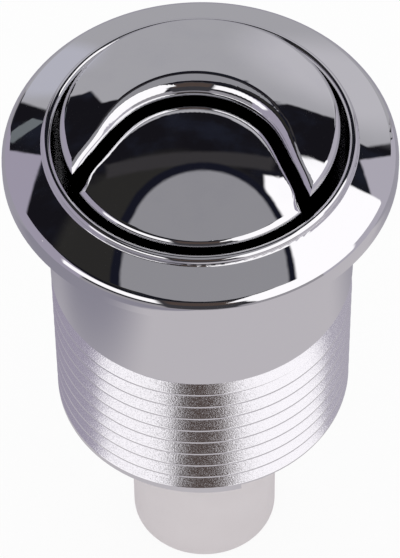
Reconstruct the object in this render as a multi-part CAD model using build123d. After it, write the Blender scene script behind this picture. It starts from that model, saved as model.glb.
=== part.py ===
from build123d import *
import os
from math import asin, cos, pi, radians, sin, sqrt, tan

# Dual-flush push button actuator for a cistern lid. All sizes are in millimetres.
# The seat plane of the flange is Z = 0, the buttons look up, and the half-flush button is towards -Y.

# Flange
flange_width = 6.3
rim_height = 1.5
rim_round = 2.0
bevel_deg = 20.0
bead_width = 1.5
bead_top = 6.2
bead_fillet = 0.3

# Threaded barrel
barrel_r = 23.7
barrel_length = 55.2
barrel_wall = 2.9
well_wall = 1.4
end_chamfer = 0.5
thread_start = 24.9
thread_pitch = 3.2
thread_depth = 1.25
thread_crest = 0.35
thread_root = 0.7
thread_turns = 8.96
thread_top_azimuth = -82.6

# Flange seal, as squeezed flush into its groove
seal_groove_depth = 1.2
seal_inner_gap = 1.1
seal_outer_gap = 1.6

# Buttons: the split is an arc with a straight flank on each side
button_gap = 1.3
split_gap = 1.4
split_arc_r = 12.8
split_arc_y = -9.1
flank_deg = 60.0
dome_r = 75.0
half_edge_z = 6.4
full_edge_z = 9.05
edge_round = 1.25
corner_round = 0.8
lip_mid_r = 2.7
back_bevel_r = 3.5
back_bevel_deg = 35.0
back_round = 0.35
split_end_r = 1.1
round_fade = 18.0
skirt_bottom = -4.0
cap_wall = 1.5
cap_top = 1.8
travel = 6.0

# Slides that carry the buttons
plate_top = -4.6
plate_thickness = 2.4
plate_inset = 0.6
rod_gap = 0.3
web_thickness = 1.2
neck_gap = 1.0
leg_width = 2.2
leg_depth = 4.0
leg_bore_gap = 0.6
leg_root = 0.5
leg_nose = 1.2
leg_nose_lead = 0.4
leg_nose_height = 2.0
slot_gap = 0.4
half_leg_y = -11.5

# Screws between caps and slides
screw_inset = 5.6
half_screw_deg = -56.0
full_screw_deg = 54.0
screw_r = 1.2
screw_head_r = 2.2
screw_head_h = 1.6
screw_hole_gap = 0.1
screw_end_gap = 0.5
cross_width = 0.6
cross_length = 2.6
cross_depth = 0.7
screw_reach = 5.0
cap_boss_r = 2.6

# Carrier with its snap ring
carrier_above_thread = 0.9
carrier_thickness = 2.9
carrier_gap = 0.3
collar_wall = 1.6
collar_depth = 9.0
snap_thickness = 1.0
snap_wire_w = 2.2
snap_groove = 0.6
snap_play = 0.1
snap_gap_deg = 24.0

# Guide tube
tube_r = 12.0
tube_wall = 2.0
tube_end = 91.4
tube_chamfer = 0.4
tube_screw_drop = 5.0
tube_screw_r = 1.0
tube_screw_head_r = 1.9
tube_screw_head_h = 1.0
tube_screw_depth = 1.2

# Return springs
spring_wall_gap = 2.2
spring_rod_gap = 0.6
wire_r = 0.4
spring_turns = 7.5
spigot_gap = 0.8
spigot_height = 5.0

# End cap of the barrel
cap_depth = 2.5
cap_recess = 0.8
cap_rim = 2.0
cap_hub = 2.0
cap_spokes = 6
cap_spoke_w = 3.0

# Feet of the push rods
foot_recess = 0.5
foot_thickness = 2.9
foot_inset = 0.3
foot_spigot_r = 2.5
foot_spigot_len = 6.0

# Worked out from the sizes above
flange_r = barrel_r + flange_width
opening_r = barrel_r - well_wall
bore_r = barrel_r - barrel_wall
button_r = opening_r - button_gap
carrier_seat = thread_start - carrier_above_thread
carrier_top = carrier_thickness - carrier_seat
plate_bottom = plate_top - plate_thickness
tube_bore_r = tube_r - tube_wall
rod_r = tube_bore_r - rod_gap
rod_face = web_thickness / 2 + rod_gap
foot_end = tube_end - foot_recess
rod_end = foot_end - foot_thickness
neck_bottom = skirt_bottom - travel - neck_gap
collar_r = tube_r + collar_wall
tube_screw_z = -carrier_seat - tube_screw_drop
spring_out_r = (opening_r - spring_wall_gap - rod_r - spring_rod_gap) / 2
spring_r = spring_out_r - wire_r
spring_y = opening_r - spring_wall_gap - spring_out_r
spigot_r = spring_r - wire_r - spigot_gap
screw_circle_r = button_r - screw_inset
full_leg_y = tube_screw_head_r + slot_gap + leg_depth / 2
cut_over = 1.0
far = 60.0


def extruded(sketch, low, high):
    return extrude(Pos(0, 0, low) * sketch, high - low, dir=(0, 0, 1))


def cylinder(radius, low, high, x=0.0, y=0.0):
    return extruded(Pos(x, y) * Circle(radius), low, high)


def box(x, y, width, depth, low, high):
    return extruded(Pos(x, y) * Rectangle(width, depth), low, high)


def revolved(*edges):
    return revolve(Plane.XZ * make_face(edges), Axis.Z)


def arc_point(centre, radius, angle):
    # Point of a profile arc, the angle measured from straight up, outwards
    return (centre[0] + radius * sin(angle), centre[1] + radius * cos(angle))


def half_plane(y, side):
    return Pos(0, y + side * far) * Rectangle(4 * far, 2 * far)


def d_shape(radius, face):
    # Half disc on the side of the sign of face, its flat |face| from the axis
    return Circle(radius) & half_plane(face, 1 if face > 0 else -1)


# Plan of the split between the buttons

def split_point(offset, place):
    # Point and outward normal of the split curve, moved out by offset. place runs from -1 to 1
    # on the arc, and past that it counts millimetres down a straight flank.
    radius = split_arc_r + offset
    side = -1 if place < 0 else 1
    along = min(abs(place), 1.0)
    turn = side * along * radians(flank_deg)
    normal = (sin(turn), cos(turn))
    down = max(abs(place) - 1.0, 0.0)
    x = radius * normal[0] + side * down * cos(radians(flank_deg))
    y = split_arc_y + radius * normal[1] - down * sin(radians(flank_deg))
    return (x, y), normal


def arch(offset):
    left, _ = split_point(offset, -1)
    right, _ = split_point(offset, 1)
    low_left, _ = split_point(offset, -far)
    low_right, _ = split_point(offset, far)
    top, _ = split_point(offset, 0)
    return make_face([ThreePointArc(left, top, right), Line(right, low_right),
                      Line(low_right, low_left), Line(low_left, left)])


def half_outline(inset=0.0):
    sharp = arch(-inset) & Circle(button_r - inset)
    return fillet(sharp.vertices().sort_by(Axis.Y)[:2], corner_round)


def full_outline(inset=0.0):
    return Circle(button_r - inset) - arch(split_gap + inset)


# Button tops

def dome_centre(edge_z):
    return edge_z - sqrt(dome_r ** 2 - button_r ** 2)


def domed_disc(edge_z):
    centre = (0.0, dome_centre(edge_z))
    round_x = button_r - edge_round
    lean = asin(round_x / (dome_r - edge_round))
    round_c = (round_x, centre[1] + (dome_r - edge_round) * cos(lean))
    rim = arc_point(round_c, edge_round, lean)
    top = arc_point(centre, dome_r, 0.0)
    return revolved(
        Line((0, skirt_bottom), (button_r, skirt_bottom)),
        Line((button_r, skirt_bottom), (button_r, round_c[1])),
        ThreePointArc((button_r, round_c[1]), arc_point(round_c, edge_round, (lean + pi / 2) / 2), rim),
        ThreePointArc(rim, arc_point(centre, dome_r, lean / 2), top),
        Line(top, (0, skirt_bottom)))


def ball_under(depth, edge_z):
    # The dome's own ball, its face depth below the dome
    return Pos(0, 0, dome_centre(edge_z)) * Sphere(dome_r - depth)


def ball_height(point, inward, radius, reach, edge_z):
    # Height of the centre of a ball rolled under the dome, reach from the wall, and its lean
    foot = -(point[0] * inward[0] + point[1] * inward[1])
    aside = point[0] * inward[1] - point[1] * inward[0]
    section_r = sqrt(dome_r ** 2 - aside ** 2)
    lean = asin((reach - foot) / (section_r - radius))
    return dome_centre(edge_z) + (section_r - radius) * cos(lean), lean


def wall_section(point, inward, arcs):
    # Face outside the rounded edge: arcs are (centre, radius, from, to), angles from straight up
    # towards the wall, in the plane across the wall with its first axis inwards
    def on(centre, radius, angle):
        return (centre[0] - radius * sin(angle), centre[1] + radius * cos(angle))
    first, last = arcs[0], arcs[-1]
    start = on(first[0], first[1], first[2])
    end = on(last[0], last[1], last[3])
    over = (start[0] + section_run * cos(first[2]), start[1] + section_run * sin(first[2]))
    under = (end[0] - section_dip * cos(last[3]), end[1] - section_dip * sin(last[3]))
    edges = [ThreePointArc(on(c, r, a), on(c, r, (a + b) / 2), on(c, r, b)) for c, r, a, b in arcs]
    path = [end, under, (-split_gap, under[1]), (-split_gap, far), (over[0], far), over, start]
    edges += [Line(a, b) for a, b in zip(path, path[1:])]
    plane = Plane(origin=(*point, 0), x_dir=(*inward, 0), z_dir=(inward[1], -inward[0], 0))
    return plane * make_face(edges)


crease = radians(4)
wall_lean = radians(82)
section_run = 3.0
section_dip = 0.8


def faded_round(place, middle_r):
    # Radius that shrinks from the middle of the split towards its ends
    run = min(abs(place), 1.0) * split_arc_r * radians(flank_deg) + max(abs(place) - 1.0, 0.0)
    return split_end_r + (middle_r - split_end_r) * cos(min(run / round_fade, 1.0) * pi / 2)


def lip_section(place):
    point, inward = split_point(split_gap, place)
    radius = faded_round(place, lip_mid_r)
    height, lean = ball_height(point, inward, radius, radius, full_edge_z)
    return wall_section(point, inward, [((radius, height), radius, crease - lean, wall_lean)])


def back_section(place):
    point, outward = split_point(0.0, place)
    inward = (-outward[0], -outward[1])
    bend = radians(back_bevel_deg)
    radius = faded_round(place, back_bevel_r)
    reach = back_round + (radius - back_round) * sin(bend)
    height, lean = ball_height(point, inward, radius, reach, half_edge_z)
    low = height + (radius - back_round) * cos(bend)
    return wall_section(point, inward, [((reach, height), radius, crease - lean, bend),
                                        ((back_round, low), back_round, bend, wall_lean)])


def flank_length(offset):
    # From the end of the split's arc down its flank to the rim
    (x, y), _ = split_point(offset, 1)
    along = x * cos(radians(flank_deg)) - y * sin(radians(flank_deg))
    return sqrt(along ** 2 - x ** 2 - y ** 2 + button_r ** 2) - along


arc_places = [-1 + i * 0.2 for i in range(11)]
flank_shares = [0.2, 0.45, 0.75]
flank_over = 1.5


def edge_cutter(section, offset):
    length = flank_length(offset)
    down = [1 + length * share for share in flank_shares] + [1 + length + flank_over]
    places = [-p for p in reversed(down)] + arc_places + down
    return loft([section(p) for p in places])


def cap(outline, edge_z, cutter, screw_deg):
    boss_x, boss_y = screw_place(screw_deg)
    shell = domed_disc(edge_z) & extruded(outline(), skirt_bottom, far)
    shell -= extruded(outline(cap_wall), skirt_bottom, far) & ball_under(cap_top, edge_z)
    shell -= cutter
    for side in (-1, 1):
        boss = cylinder(cap_boss_r, plate_top, far, side * boss_x, boss_y)
        shell += boss & ball_under(cap_top / 2, edge_z)
        shell -= cylinder(screw_r, plate_top, plate_top + screw_reach, side * boss_x, boss_y)
    return shell


def half_button():
    return cap(half_outline, half_edge_z, edge_cutter(back_section, 0.0), half_screw_deg)


def full_button():
    return cap(full_outline, full_edge_z, edge_cutter(lip_section, split_gap), full_screw_deg)


# Housing

groove_width = thread_pitch - thread_crest
flank = (groove_width - thread_root) / 2
groove_over = 0.1


def thread_groove():
    half_root = thread_root / 2
    half_top = half_root + flank * (1 + groove_over / thread_depth)
    profile = make_face(Polyline((-thread_depth, -half_root), (groove_over, -half_top),
                                 (groove_over, half_top), (-thread_depth, half_root), close=True))
    top_z = -thread_start - groove_width / 2
    height = thread_turns * thread_pitch
    helix = Helix(thread_pitch, height, barrel_r, center=(0, 0, top_z - height))
    start = Plane(origin=helix @ 0, x_dir=(1, 0, 0), z_dir=helix % 0)
    groove = sweep(start * profile, path=helix, is_frenet=True)
    return Rot(0, 0, thread_top_azimuth - 360 * thread_turns) * groove


def thread_relief():
    # Ring groove in which the thread starts
    top = -thread_start
    low = top - groove_width
    root_r = barrel_r - thread_depth
    return revolved(*Polyline((barrel_r + cut_over, top), (barrel_r, top), (root_r, top - flank),
                              (root_r, low + flank), (barrel_r, low), (barrel_r + cut_over, low),
                              close=True).edges())


def housing():
    rise = radians(bevel_deg)
    rim_c = (flange_r - rim_round, rim_height)
    rim_end = arc_point(rim_c, rim_round, rise)
    bead_r = bead_width / 2
    bead_c = (opening_r + bead_r, bead_top - bead_r)
    bead_out = opening_r + bead_width
    foot_z = rim_end[1] + (rim_end[0] - bead_out) * tan(rise)
    hollow_c = (bead_out + bead_fillet, foot_z + bead_fillet * (1 / cos(rise) - tan(rise)))
    hollow = [arc_point(hollow_c, -bead_fillet, a) for a in (rise, (rise + pi / 2) / 2, pi / 2)]
    snap_low, snap_high = carrier_top, carrier_top + snap_thickness + snap_play
    groove_r = opening_r + snap_groove
    seal_in, seal_out = barrel_r + seal_inner_gap, flange_r - seal_outer_gap
    end = -barrel_length
    body = revolved(
        Line((flange_r, 0), (flange_r, rim_height)),
        ThreePointArc((flange_r, rim_height), arc_point(rim_c, rim_round, (rise + pi / 2) / 2), rim_end),
        Line(rim_end, hollow[0]),
        ThreePointArc(*hollow),
        Line(hollow[-1], (bead_out, bead_c[1])),
        ThreePointArc((bead_out, bead_c[1]), (bead_c[0], bead_top), (opening_r, bead_c[1])),
        *Polyline((opening_r, bead_c[1]), (opening_r, snap_high), (groove_r, snap_high),
                  (groove_r, snap_low), (opening_r, snap_low), (opening_r, -carrier_seat),
                  (bore_r, -carrier_seat), (bore_r, end), (barrel_r - end_chamfer, end),
                  (barrel_r, end + end_chamfer), (barrel_r, 0), (seal_in, 0),
                  (seal_in, seal_groove_depth), (seal_out, seal_groove_depth), (seal_out, 0),
                  (flange_r, 0)).edges())
    return body - thread_relief() - thread_groove()


def ring(outer, inner, low, high):
    return extruded(Circle(outer) - Circle(inner), low, high)


def flange_seal():
    return ring(flange_r - seal_outer_gap, barrel_r + seal_inner_gap, 0, seal_groove_depth)


# Slides

def leg_x(y):
    # The nose's far corner stays leg_bore_gap inside the bore
    tip = sqrt((bore_r - leg_bore_gap) ** 2 - (abs(y) + leg_depth / 2) ** 2)
    return tip - leg_nose - leg_width / 2


def screw_place(degrees):
    return screw_circle_r * cos(radians(degrees)), screw_circle_r * sin(radians(degrees))


def leg(x, y, side):
    # Springy leg whose nose hooks under the carrier
    hook = -carrier_seat - slot_gap
    low = hook - leg_nose_height
    shank = box(side * x, y, leg_width, leg_depth, low, plate_bottom + leg_root)
    outer = x + leg_width / 2
    tip = outer + leg_nose
    nose = make_face(Polyline((x, low), (outer + leg_nose_lead, low), (tip, hook - leg_nose_lead),
                              (tip, hook), (x, hook), close=True))
    solid = Pos(0, y + leg_depth / 2, 0) * extrude(Plane.XZ * nose, leg_depth, dir=(0, -1, 0))
    return shank + (solid if side > 0 else mirror(solid, Plane.YZ))


def slide(outline, face, rod_top, screw_deg, leg_y):
    screw_x, screw_y = screw_place(screw_deg)
    part = extruded(outline, plate_bottom, plate_top) + extruded(d_shape(rod_r, face), -rod_end, rod_top)
    part -= cylinder(foot_spigot_r, -rod_end, -rod_end + foot_spigot_len, 0, foot_y(face))
    for side in (-1, 1):
        part += leg(leg_x(leg_y), leg_y, side)
        part -= cylinder(screw_r + screw_hole_gap, plate_bottom, plate_top, side * screw_x, screw_y)
    return part


def foot_y(face):
    return face + (1 if face > 0 else -1) * (rod_r - abs(face)) / 2


def half_slide():
    outline = half_outline(plate_inset) & half_plane(rod_gap, -1)
    return slide(outline, -rod_face, plate_bottom, half_screw_deg, half_leg_y)


def full_slide():
    # The rod starts under a neck, which stays clear of the half button's skirt
    outline = full_outline(plate_inset) & half_plane(full_leg_y - leg_depth / 2, 1)
    part = slide(outline, rod_face, neck_bottom, full_screw_deg, full_leg_y)
    return part + extruded(Circle(rod_r) & outline, neck_bottom, plate_bottom)


def rod_foot(face):
    base = extruded(d_shape(rod_r - foot_inset, face), -foot_end, -rod_end)
    return base + cylinder(foot_spigot_r, -rod_end, -rod_end + foot_spigot_len - foot_inset, 0, foot_y(face))


def cap_screw(degrees, side):
    x, y = screw_place(degrees)
    x *= side
    low = plate_bottom - screw_head_h
    head = cylinder(screw_head_r, low, plate_bottom, x, y)
    shank = cylinder(screw_r, plate_bottom, plate_top + screw_reach - screw_end_gap, x, y)
    for width, depth in ((cross_width, cross_length), (cross_length, cross_width)):
        head -= box(x, y, width, depth, low, low + cross_depth)
    return head + shank


def spring(y):
    height = plate_bottom - carrier_top - 2 * wire_r
    helix = Helix(height / spring_turns, height, spring_r, center=(0, y, carrier_top + wire_r))
    return sweep(Plane(origin=helix @ 0, z_dir=helix % 0) * Circle(wire_r), path=helix, is_frenet=True)


# Carrier, guide tube and what fixes them

def carrier():
    part = cylinder(opening_r - carrier_gap, -carrier_seat, carrier_top)
    part += ring(collar_r, tube_r, -carrier_seat - collar_depth, -carrier_seat)
    for face in (-web_thickness / 2, web_thickness / 2):
        part -= extruded(d_shape(tube_bore_r, face), -carrier_seat, carrier_top)
    for y in (-spring_y, spring_y):
        part += cylinder(spigot_r, carrier_top, carrier_top + spigot_height, 0, y)
    slot_width, slot_depth = leg_width + 2 * slot_gap, leg_depth + 2 * slot_gap
    for side in (-1, 1):
        for y in (half_leg_y, full_leg_y):
            part -= box(side * leg_x(y), y, slot_width, slot_depth, -carrier_seat, carrier_top)
        part -= Pos(side * (tube_r + collar_r) / 2, 0, tube_screw_z) * Rot(0, 90, 0) * \
            Cylinder(tube_screw_r, collar_r - tube_r + cut_over)
    return part


def carrier_snap_ring():
    outer = opening_r + snap_groove - snap_play
    full = ring(outer, outer - snap_wire_w, carrier_top, carrier_top + snap_thickness)
    across = far * tan(radians(snap_gap_deg / 2))
    wedge = make_face(Polyline((0, 0), (-far, across), (-far, -across), close=True))
    return full - extruded(wedge, carrier_top, carrier_top + snap_thickness)


def guide_tube():
    tube = cylinder(tube_r, -tube_end, -carrier_seat)
    tube = chamfer(tube.edges().sort_by(Axis.Z)[0], tube_chamfer)
    for face in (-web_thickness / 2, web_thickness / 2):
        tube -= extruded(d_shape(tube_bore_r, face), -tube_end, -carrier_seat)
    for side in (-1, 1):
        tube -= Pos(side * (tube_r - tube_screw_depth / 2), 0, tube_screw_z) * Rot(0, 90, 0) * \
            Cylinder(tube_screw_r, tube_screw_depth)
    return tube


def tube_screw(side):
    inner = tube_r - tube_screw_depth
    shank = Cylinder(tube_screw_r, collar_r - inner, align=(Align.CENTER, Align.CENTER, Align.MIN))
    head = Pos(0, 0, collar_r - inner) * Cylinder(tube_screw_head_r, tube_screw_head_h,
                                                  align=(Align.CENTER, Align.CENTER, Align.MIN))
    return Pos(side * inner, 0, tube_screw_z) * Rot(0, side * 90, 0) * (shank + head)


def end_cap():
    low = -barrel_length + cap_recess
    high = low + cap_depth
    part = ring(bore_r, bore_r - cap_rim, low, high) + ring(tube_r + cap_hub, tube_r, low, high)
    spoke_in, spoke_out = tube_r + cap_hub / 2, bore_r - cap_rim / 2
    for i in range(cap_spokes):
        spoke = box((spoke_in + spoke_out) / 2, 0, spoke_out - spoke_in, cap_spoke_w, low, high)
        part += Rot(0, 0, i * 360 / cap_spokes) * spoke
    return part


parts = {
    "housing": housing(),
    "flange_seal": flange_seal(),
    "half_button": half_button(),
    "full_button": full_button(),
    "half_slide": half_slide(),
    "full_slide": full_slide(),
    "half_spring": spring(-spring_y),
    "full_spring": spring(spring_y),
    "carrier": carrier(),
    "carrier_snap_ring": carrier_snap_ring(),
    "guide_tube": guide_tube(),
    "end_cap": end_cap(),
    "half_rod_foot": rod_foot(-rod_face),
    "full_rod_foot": rod_foot(rod_face),
}
for name, side in (("left", -1), ("right", 1)):
    parts["half_screw_" + name] = cap_screw(half_screw_deg, side)
    parts["full_screw_" + name] = cap_screw(full_screw_deg, side)
    parts["tube_screw_" + name] = tube_screw(side)

os.makedirs("parts", exist_ok=True)
for name, shape in parts.items():
    export_step(shape, "parts/" + name + ".step")
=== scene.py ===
from math import cos, pi, radians, sin, tan

import bpy
from mathutils import Matrix, Vector

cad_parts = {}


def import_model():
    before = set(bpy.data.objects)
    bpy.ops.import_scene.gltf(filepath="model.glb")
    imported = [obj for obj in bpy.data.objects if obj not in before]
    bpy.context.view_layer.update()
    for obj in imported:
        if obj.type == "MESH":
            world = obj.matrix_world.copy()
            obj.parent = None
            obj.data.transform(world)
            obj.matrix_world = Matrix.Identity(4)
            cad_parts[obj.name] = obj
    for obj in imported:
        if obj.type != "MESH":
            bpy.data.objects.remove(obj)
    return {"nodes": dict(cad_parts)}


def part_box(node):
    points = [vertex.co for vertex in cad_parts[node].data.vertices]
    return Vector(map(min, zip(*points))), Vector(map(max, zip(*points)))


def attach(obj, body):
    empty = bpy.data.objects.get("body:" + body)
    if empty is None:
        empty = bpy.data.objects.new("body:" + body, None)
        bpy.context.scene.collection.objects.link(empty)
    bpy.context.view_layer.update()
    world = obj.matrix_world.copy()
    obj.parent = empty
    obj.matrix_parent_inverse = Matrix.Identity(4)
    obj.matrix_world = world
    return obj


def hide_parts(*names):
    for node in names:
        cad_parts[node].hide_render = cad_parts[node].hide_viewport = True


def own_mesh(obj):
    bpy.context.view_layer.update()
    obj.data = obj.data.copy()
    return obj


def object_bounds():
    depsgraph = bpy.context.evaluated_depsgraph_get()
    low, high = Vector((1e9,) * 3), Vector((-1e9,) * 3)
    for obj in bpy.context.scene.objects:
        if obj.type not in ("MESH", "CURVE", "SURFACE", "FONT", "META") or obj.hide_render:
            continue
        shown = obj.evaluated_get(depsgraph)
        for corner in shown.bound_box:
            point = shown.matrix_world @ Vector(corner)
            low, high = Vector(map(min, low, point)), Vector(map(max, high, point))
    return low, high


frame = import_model()
cad_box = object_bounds()
MM = 0.001

# The object is turned a little in the photograph, so the camera and everything that the chrome
# reflects stand that much to one side of the object's plane of symmetry.
TURN = radians(7.4)

# Camera
IMAGE_HEIGHT = 558
FOCAL_PIXELS = 3610.9
SENSOR_MM = 36.0
CAMERA_ELEVATION = radians(52.93)
CAMERA_ROLL = radians(-0.75)
CAMERA_DISTANCE = 546.06 * MM
AIM_LEFT = 0.29 * MM
AIM_BELOW = 17.82 * MM
CLIP_NEAR, CLIP_FAR = 0.01, 20

# Sizes of the housing that its finish and the painted shade in its well follow
THREAD_TOP = -24.9 * MM
CREST_RADIUS = 23.7 * MM
BORE_RADIUS = 21.9 * MM
WELL_RADIUS = 22.35 * MM
WELL_TOP = 5 * MM
BEAD_RADIUS = 23.05 * MM
BEAD_MIDDLE = 5.45 * MM
BEAD_OUT = 23.85 * MM
CONE_IN = 24.0 * MM
CONE_OUT = 28.68 * MM
FLANGE_SLOPE = radians(20)
FLANGE_MIDDLE = 26.8 * MM
FLANGE_WIDTH = 5.9 * MM

# The flange's section is a little fuller than a straight line, by a parabola that tilts its two
# edges by this angle.
FLANGE_TILT = radians(1.6)
FLANGE_FULLNESS = FLANGE_WIDTH / 4 * tan(FLANGE_TILT)

# The thread's satin starts and is full at these depths below its crest, and fades in below the
# thread's top. The painted shade in the well fades in across its wall and down it.
SATIN_START, SATIN_FULL = 0.02 * MM, 0.08 * MM
SATIN_FADE = 0.1 * MM
WELL_FADE = 0.1 * MM
WELL_FADE_DOWN = 1 * MM

# Return springs
SPRING_TURNS = 7.5
WIRE_RADIUS = 0.4 * MM
WIRE_SIDES = 12
COIL_STEPS = 40

# Floor, a hair below the guide tube's end. In the chrome it darkens to the left and to the back,
# from the first distance to the second. The camera sees mostly plain white, so its shadow is faint.
FLOOR_SIZE = 2.4
FLOOR_GAP = 0.05 * MM
LEFT_FADE = (-42 * MM, -78 * MM)
BACK_FADE = (5 * MM, 55 * MM)
CAMERA_COVER = 0.9


def linear(level):
    # From a picture's level, 0 to 255, to the amount of light
    share = level / 255
    return share / 12.92 if share <= 0.04045 else ((share + 0.055) / 1.055) ** 2.4


def colour(red, green, blue):
    return (linear(red), linear(green), linear(blue), 1.0)


class Graph:
    """Adds nodes to one node tree. An input's value is a number, a colour or a node's output."""

    # The Mix node's sockets for its two values and its result, by the kind of data
    MIX_SOCKETS = {"FLOAT": (2, 3, 0), "VECTOR": (4, 5, 1), "RGBA": (6, 7, 2)}

    def __init__(self, owner):
        owner.use_nodes = True
        self.tree = owner.node_tree
        self.tree.nodes.clear()

    def add(self, kind, inputs=None, **settings):
        node = self.tree.nodes.new("ShaderNode" + kind)
        for name, value in settings.items():
            setattr(node, name, value)
        for name, value in (inputs or {}).items():
            self.feed(node.inputs[name], value)
        return node

    def feed(self, socket, value):
        if isinstance(value, bpy.types.NodeSocket):
            self.tree.links.new(value, socket)
        else:
            socket.default_value = value

    def math(self, operation, *values):
        return self.add("Math", dict(enumerate(values)), operation=operation).outputs[0]

    def dot(self, vector, axis):
        inputs = {0: vector, 1: tuple(axis)}
        return self.add("VectorMath", inputs, operation="DOT_PRODUCT").outputs["Value"]

    def smooth(self, value, start, end, low=0.0, high=1.0):
        # Goes from low, where value is at start, to high, where it is at end
        inputs = {"Value": value, "From Min": start, "From Max": end, "To Min": low, "To Max": high}
        return self.add("MapRange", inputs, interpolation_type="SMOOTHSTEP").outputs[0]

    def mix(self, factor, first, second, kind="RGBA"):
        first_socket, second_socket, result = self.MIX_SOCKETS[kind]
        inputs = {0: factor, first_socket: first, second_socket: second}
        return self.add("Mix", inputs, data_type=kind).outputs[result]

    def noise(self, place, blotch, detail=2.0):
        inputs = {"Vector": place, "Scale": 1 / blotch, "Detail": detail}
        return self.add("TexNoise", inputs).outputs["Fac"]

    def bump(self, height, depth, normal=None):
        inputs = {"Height": height, "Distance": depth}
        if normal:
            inputs["Normal"] = normal
        return self.add("Bump", inputs).outputs["Normal"]

    def glow(self, level):
        return self.add("Emission", {"Color": level, "Strength": 1.0})

    def layer(self, share, under, over):
        return self.add("MixShader", {0: share, 1: under.outputs[0], 2: over.outputs[0]})

    def show(self, shader, kind="OutputMaterial"):
        self.add(kind, {"Surface": shader.outputs[0]})


# What the chrome reflects

def direction(azimuth, elevation):
    # As the photograph shows the object: azimuth in degrees to the right of straight behind it, and
    # elevation in degrees above the floor
    turned, lifted = radians(azimuth), radians(elevation)
    return Vector((sin(turned) * cos(lifted), cos(turned) * cos(lifted), sin(lifted)))


class Card:
    """A wall, softbox or dark gap that the object sees: a rectangle or ellipse on a plane that
    faces one direction. Across and upwards it runs between two tangents of the angle from that
    direction, and soft is the width of its edge in the same measure."""

    # Cosines of the angle from the card's direction where it starts to show and shows in full
    SIDE_ON, AHEAD = 0.02, 0.06

    def __init__(self, azimuth, elevation, across, upwards, level, soft=0.03, oval=False):
        self.centre = direction(azimuth, elevation)
        side = direction(azimuth + 90, 0)
        self.edges = ((side, across), (side.cross(self.centre), upwards))
        self.level = level
        self.soft = soft
        self.oval = oval

    def mask(self, graph, ray):
        ahead = graph.dot(ray, self.centre)
        depth = graph.math("MAXIMUM", ahead, self.SIDE_ON)
        inside = graph.smooth(ahead, self.SIDE_ON, self.AHEAD)
        shares = []
        for axis, (low, high) in self.edges:
            place = graph.math("DIVIDE", graph.dot(ray, axis), depth)
            aside = graph.math("ABSOLUTE", graph.math("SUBTRACT", place, (low + high) / 2))
            shares.append((graph.math("DIVIDE", aside, (high - low) / 2), high - low))
        if self.oval:
            squares = [graph.math("POWER", share, 2.0) for share, _ in shares]
            size = sum(length for _, length in shares) / 2
            shares = [(graph.math("SQRT", graph.math("ADD", *squares)), size)]
        for share, length in shares:
            soft = self.soft / length
            inside = graph.math("MULTIPLY", inside, graph.smooth(share, 1 + soft, 1 - soft))
        return inside


PAPER_WHITE = (255, 255, 255)
FLOOR_WHITE = (240, 240, 240)
FLOOR_LEVEL = (188, 184, 189)
FLOOR_LEFT = (139, 136, 148)
FLOOR_BACK = (155, 152, 162)
DARK = (21, 20, 25)
STREAK = (28, 30, 40)
STREAK_SIZE = 0.12
LOW_GREY = (150, 147, 153)
LOW_GREY_TOP, DARK_BOTTOM = radians(8), radians(16)
BACK_GREY = (165, 164, 169)
WHITE = (262, 260, 262)
SURROUNDINGS = [
    # Walls to the left and to the right, and one behind in four pieces of different heights
    Card(-92, 0, (-0.53, 1.213), (-0.4, 1.31), (158, 152, 168)),
    Card(92, 0, (-1.11, 0.53), (-0.4, 1.31), (174, 170, 181)),
    Card(0, 0, (-0.60, -0.42), (-0.4, 0.77), BACK_GREY, soft=0.02),
    Card(0, 0, (-0.44, -0.21), (-0.4, 0.93), BACK_GREY, soft=0.02),
    Card(0, 0, (-0.23, 0.22), (-0.4, 0.82), BACK_GREY, soft=0.02),
    Card(0, 0, (0.20, 0.87), (-0.4, 1.0), BACK_GREY),
    # Lighter spots on the wall behind, and a slash in the dark gap to its left
    Card(-24, 20, (-0.10, 0.14), (-0.16, 0.14), (181, 181, 192), soft=0.08, oval=True),
    Card(25, 27, (-0.26, 0.24), (-0.24, 0.18), (188, 186, 192), soft=0.2, oval=True),
    Card(-36.6, 30.6, (-0.045, 0.045), (-0.023, 0.023), (106, 111, 115), soft=0.006),
    # Softboxes at the front, to the left and right, and the dark camera between them
    Card(-135, 42, (-0.6, 0.5), (-0.32, 0.14), WHITE, soft=0.06),
    Card(132, 30, (-0.62, 0.4), (-0.3, 0.3), WHITE, soft=0.06),
    Card(180, 28, (-0.34, 0.34), (-0.5, 0.6), (58, 57, 61), soft=0.08),
    Card(180, 43, (-0.26, 0.26), (-0.22, 0.2), (78, 67, 63), soft=0.08),
    # The ceiling: a softbox to the right in two pieces, and a grey disc in a dark ring, with a
    # faint oval and band behind it
    Card(0, 90, (0.26, 0.46), (-0.47, 1.15), WHITE, soft=0.02),
    Card(0, 90, (0.43, 1.5), (-0.58, 1.15), WHITE, soft=0.02),
    Card(0, 90, (-0.62, 0.30), (-0.60, 0.30), (42, 41, 40), soft=0.08, oval=True),
    Card(0, 90, (-0.40, 0.30), (-0.59, -0.50), (54, 52, 54)),
    Card(0, 90, (-0.36, 0.37), (-0.52, 0.45), (22, 23, 34), soft=0.02, oval=True),
    Card(0, 90, (-0.32, 0.34), (-0.47, 0.40), (143, 142, 147), soft=0.02, oval=True),
]


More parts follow.
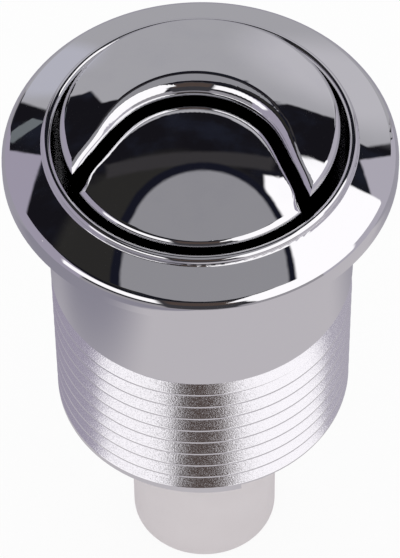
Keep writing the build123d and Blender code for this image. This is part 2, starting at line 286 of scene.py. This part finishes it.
def world():
    # Plain white light, but the surroundings for whatever mirrors them
    studio = bpy.data.worlds.new("studio")
    bpy.context.scene.world = studio
    graph = Graph(studio)
    ray = graph.add("TexCoord").outputs["Generated"]
    turn = graph.add("VectorRotate", {"Vector": ray, "Angle": -TURN}, rotation_type="Z_AXIS")
    turned = turn.outputs[0]
    streaks = graph.smooth(graph.noise(turned, STREAK_SIZE, detail=4.0), 0.45, 0.7)
    ceiling = graph.mix(streaks, colour(*DARK), colour(*STREAK))
    above = graph.smooth(graph.dot(turned, (0, 0, 1)), sin(LOW_GREY_TOP), sin(DARK_BOTTOM))
    seen = graph.mix(above, colour(*LOW_GREY), ceiling)
    for card in SURROUNDINGS:
        seen = graph.mix(card.mask(graph, turned), seen, colour(*card.level))
    glossy = graph.add("LightPath").outputs["Is Glossy Ray"]
    seen = graph.mix(glossy, colour(*PAPER_WHITE), seen)
    graph.show(graph.add("Background", {"Color": seen, "Strength": 1.0}), "OutputWorld")


def floor():
    # White with a faint shadow to the camera, and grey in the chrome
    height = cad_box[0].z - FLOOR_GAP
    bpy.ops.mesh.primitive_plane_add(size=FLOOR_SIZE, location=(0, 0, height))
    plane = bpy.context.object
    plane.name = "floor"
    material = bpy.data.materials.new("floor")
    graph = Graph(material)
    path = graph.add("LightPath").outputs
    place = graph.add("TexCoord").outputs["Object"]
    shadowed = graph.add("BsdfDiffuse", {"Color": colour(*FLOOR_WHITE)})
    share = graph.math("MULTIPLY", path["Is Camera Ray"], CAMERA_COVER)
    shown = graph.layer(share, shadowed, graph.glow(colour(*PAPER_WHITE)))
    left = graph.smooth(graph.dot(place, (cos(TURN), sin(TURN), 0)), *LEFT_FADE)
    behind = graph.smooth(graph.dot(place, (-sin(TURN), cos(TURN), 0)), *BACK_FADE)
    level = graph.mix(left, colour(*FLOOR_LEVEL), colour(*FLOOR_LEFT))
    level = graph.mix(behind, level, colour(*FLOOR_BACK))
    graph.show(graph.layer(path["Is Glossy Ray"], shown, graph.glow(level)))
    plane.data.materials.append(material)


def camera():
    right = Vector((1, 0, 0))
    up = Vector((0, sin(CAMERA_ELEVATION), cos(CAMERA_ELEVATION)))
    back = right.cross(up)
    place = CAMERA_DISTANCE * back - AIM_LEFT * right - AIM_BELOW * up
    rolled_right = right * cos(CAMERA_ROLL) + up * sin(CAMERA_ROLL)
    rolled_up = up * cos(CAMERA_ROLL) - right * sin(CAMERA_ROLL)
    axes = Matrix((rolled_right, rolled_up, back)).transposed().to_4x4()
    data = bpy.data.cameras.new("camera")
    data.sensor_width = SENSOR_MM
    data.lens = FOCAL_PIXELS / IMAGE_HEIGHT * SENSOR_MM
    data.clip_start, data.clip_end = CLIP_NEAR, CLIP_FAR
    holder = bpy.data.objects.new("camera", data)
    holder.matrix_world = Matrix.Rotation(TURN, 4, "Z") @ Matrix.Translation(place) @ axes
    bpy.context.scene.collection.objects.link(holder)
    bpy.context.scene.camera = holder


# Finishes

PLATE = (0.93, 0.93, 0.94, 1)
HAZED_PLATE = (0.90, 0.90, 0.92, 1)
SATIN_PLATE = (0.9, 0.89, 0.92, 1)
# Painted shade: near black put into the well's colour for the shadow inside the opening
WELL_PAINTED_SHADE = (0.012, 0.012, 0.013, 1)
HAZE_ROUGHNESS = 0.05


def finish(name, pieces, inputs):
    # inputs takes the graph and the place on the object, in metres, and gives the shader's inputs
    material = bpy.data.materials.new(name)
    graph = Graph(material)
    place = graph.add("TexCoord").outputs["Object"]
    graph.show(graph.add("BsdfPrincipled", inputs(graph, place)))
    for piece in pieces:
        piece.data.materials.clear()
        piece.data.materials.append(material)


def grained(graph, tint, grain, rough, depth, metallic=0.0):
    # A surface whose roughness and bump follow one grain
    low, high = rough
    roughness = graph.smooth(grain, 0.3, 0.7, low=low, high=high)
    normal = graph.bump(grain, depth)
    return {"Base Color": tint, "Metallic": metallic, "Roughness": roughness, "Normal": normal}


def polish(graph, place, normal=None):
    # Mirror plating: a faint haze in blotches, and the moulding's ripple under it
    haze = graph.smooth(graph.noise(place, blotch=5 * MM, detail=4.0), 0.4, 0.75)
    slow = graph.bump(graph.noise(place, blotch=6 * MM, detail=0.0), 0.008 * MM, normal)
    ripple = graph.bump(graph.noise(place, blotch=1.5 * MM, detail=1.0), 0.0012 * MM, slow)
    return haze, graph.math("MULTIPLY", haze, HAZE_ROUGHNESS), ripple


def chrome(graph, place):
    haze, roughness, ripple = polish(graph, place)
    tint = graph.mix(haze, PLATE, HAZED_PLATE)
    return {"Base Color": tint, "Metallic": 1.0, "Roughness": roughness, "Normal": ripple}


def turned_normal(graph, axes, radius):
    # The exact normal of the turned shapes that mirror most: the bead's round top and the
    # flange's cone
    normal = graph.add("NewGeometry").outputs["Normal"]
    above_seat = graph.math("GREATER_THAN", axes["Z"], 0.0)
    on_bead = [graph.math("GREATER_THAN", axes["Z"], BEAD_MIDDLE),
               graph.math("LESS_THAN", radius, BEAD_OUT)]
    on_cone = [graph.math("GREATER_THAN", radius, CONE_IN),
               graph.math("LESS_THAN", radius, CONE_OUT)]
    bead_outward = graph.math("SUBTRACT", radius, BEAD_RADIUS)
    bead_upward = graph.math("SUBTRACT", axes["Z"], BEAD_MIDDLE)
    shapes = [
        (bead_outward, bead_upward, on_bead),
        (sin(FLANGE_SLOPE), cos(FLANGE_SLOPE), on_cone),
    ]
    for outward, upward, limits in shapes:
        share = graph.math("DIVIDE", outward, radius)
        parts = {name: graph.math("MULTIPLY", axes[name], share) for name in "XY"}
        vector = graph.add("CombineXYZ", {**parts, "Z": upward}).outputs[0]
        exact = graph.add("VectorMath", {0: vector}, operation="NORMALIZE").outputs[0]
        inside = graph.math("MULTIPLY", graph.math("MULTIPLY", *limits), above_seat)
        normal = graph.mix(inside, normal, exact, "VECTOR")
    return normal


def flange_bulge(graph, radius):
    # 1 at the middle of the flange's width, and 0 at its edges and beyond
    aside = graph.math("DIVIDE", graph.math("SUBTRACT", radius, FLANGE_MIDDLE), FLANGE_WIDTH / 2)
    limited = graph.math("MINIMUM", graph.math("MAXIMUM", aside, -1.0), 1.0)
    square = graph.math("POWER", graph.math("ABSOLUTE", limited), 2.0)
    return graph.math("SUBTRACT", 1.0, square)


def thread_share(graph, height, radius):
    # 1 on the flanks and roots of the thread, and 0 on its crests, above it and in the bore
    sunk = graph.smooth(radius, CREST_RADIUS - SATIN_START, CREST_RADIUS - SATIN_FULL)
    below = graph.smooth(height, THREAD_TOP, THREAD_TOP - SATIN_FADE)
    outside = graph.math("GREATER_THAN", radius, BORE_RADIUS)
    return graph.math("MULTIPLY", graph.math("MULTIPLY", sunk, below), outside)


def painted_well_shade(graph, height, radius):
    # 1 inside the opening that the buttons sit in, where shade is painted into the colour
    within = graph.smooth(radius, WELL_RADIUS + WELL_FADE, WELL_RADIUS)
    below = graph.smooth(height, WELL_TOP, WELL_TOP - WELL_FADE_DOWN)
    return graph.math("MULTIPLY", within, below)


def threaded_chrome(graph, place):
    # Mirror plating that turns to a speckled satin on the thread, with shade painted dark into the
    # well
    axes = graph.add("SeparateXYZ", {"Vector": place}).outputs
    squares = [graph.math("POWER", axes[name], 2.0) for name in "XY"]
    radius = graph.math("SQRT", graph.math("ADD", *squares))
    _, smooth_roughness, ripple = polish(graph, place, turned_normal(graph, axes, radius))
    mirror = graph.bump(flange_bulge(graph, radius), FLANGE_FULLNESS, ripple)
    grain = graph.noise(place, blotch=0.22 * MM, detail=3.0)
    speckle = graph.bump(grain, 0.02 * MM, mirror)
    satin_roughness = graph.smooth(grain, 0.35, 0.7, low=0.13, high=0.3)
    satin = thread_share(graph, axes["Z"], radius)
    tint = graph.mix(satin, PLATE, SATIN_PLATE)
    # Painted shade: the colour goes near black inside the well, where the opening lies in shadow
    tint = graph.mix(painted_well_shade(graph, axes["Z"], radius), tint, WELL_PAINTED_SHADE)
    roughness = graph.mix(satin, smooth_roughness, satin_roughness, "FLOAT")
    normal = graph.mix(satin, mirror, speckle, "VECTOR")
    return {"Base Color": tint, "Metallic": 1.0, "Roughness": roughness, "Normal": normal}


def white_plastic(graph, place):
    cloud = graph.noise(place, blotch=7 * MM, detail=3.0)
    grain = graph.noise(place, blotch=0.3 * MM)
    tint = graph.mix(cloud, colour(224, 218, 220), colour(217, 210, 212))
    return grained(graph, tint, grain, rough=(0.38, 0.5), depth=0.004 * MM)


def black_plastic(graph, place):
    grain = graph.noise(place, blotch=0.35 * MM, detail=3.0)
    tint = graph.mix(grain, colour(16, 16, 17), colour(26, 26, 28))
    return grained(graph, tint, grain, rough=(0.5, 0.65), depth=0.006 * MM)


def rubber(graph, place):
    grain = graph.noise(place, blotch=0.25 * MM, detail=4.0)
    tint = graph.mix(grain, colour(38, 38, 40), colour(52, 52, 55))
    return grained(graph, tint, grain, rough=(0.65, 0.85), depth=0.02 * MM)


def wire(graph, place):
    streak = graph.noise(place, blotch=0.4 * MM, detail=4.0)
    tint = graph.mix(streak, colour(200, 200, 203), colour(170, 170, 176))
    return grained(graph, tint, streak, rough=(0.18, 0.35), depth=0.004 * MM, metallic=1.0)


def cad(*names):
    return [frame["nodes"][name] for name in names]


def cad_with(*words):
    return cad(*(name for name in frame["nodes"] if any(word in name for word in words)))


# Return springs

def coil_mesh(name, foot, coil_radius, climb):
    # A round wire swept up a helix, with its middle starting at foot, and capped at both ends
    count = int(SPRING_TURNS * COIL_STEPS)
    slope = climb / (2 * pi * SPRING_TURNS * coil_radius)
    points, faces = [], []
    for step in range(count + 1):
        angle = 2 * pi * step / COIL_STEPS
        outward = Vector((cos(angle), sin(angle), 0))
        along = Vector((-sin(angle), cos(angle), slope)).normalized()
        upward = outward.cross(along)
        middle = foot + Vector((0, 0, climb * step / count)) + coil_radius * outward
        for side in range(WIRE_SIDES):
            turn = 2 * pi * side / WIRE_SIDES
            points.append(middle + WIRE_RADIUS * (cos(turn) * outward + sin(turn) * upward))
    for ring in range(0, count * WIRE_SIDES, WIRE_SIDES):
        for side in range(WIRE_SIDES):
            first, following = ring + side, ring + (side + 1) % WIRE_SIDES
            faces.append((first, following, following + WIRE_SIDES, first + WIRE_SIDES))
    faces.append(tuple(reversed(range(WIRE_SIDES))))
    faces.append(tuple(range(count * WIRE_SIDES, (count + 1) * WIRE_SIDES)))
    mesh = bpy.data.meshes.new(name)
    mesh.from_pydata(points, [], faces)
    mesh.shade_smooth()
    return mesh


def coil(node):
    # Stands for the solid spring, between the carrier and the slide
    low, high = (Vector(corner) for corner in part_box(node))
    height = high.z - low.z
    anchor = Vector(((low.x + high.x) / 2, (low.y + high.y) / 2, low.z))
    foot = anchor + Vector((0, 0, WIRE_RADIUS))
    coil_radius = (high.x - low.x) / 2 - WIRE_RADIUS
    mesh = coil_mesh(node + "_coil", foot, coil_radius, climb=height - 2 * WIRE_RADIUS)
    piece = bpy.data.objects.new(node + "_coil", mesh)
    bpy.context.scene.collection.objects.link(piece)
    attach(piece, "base")
    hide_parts(node)
    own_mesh(piece)
    return piece


camera()
world()
floor()
coils = [coil("half_spring"), coil("full_spring")]
finish("threaded_chrome", cad("housing"), threaded_chrome)
finish("chrome", cad("half_button", "full_button"), chrome)
white_parts = cad("guide_tube", "end_cap", "half_rod_foot", "full_rod_foot")
finish("white_plastic", white_parts, white_plastic)
finish("black_plastic", cad("half_slide", "full_slide", "carrier"), black_plastic)
finish("rubber", cad("flange_seal"), rubber)
finish("wire", coils + cad_with("spring", "screw", "snap"), wire)

bpy.context.scene.view_settings.view_transform = "Standard"
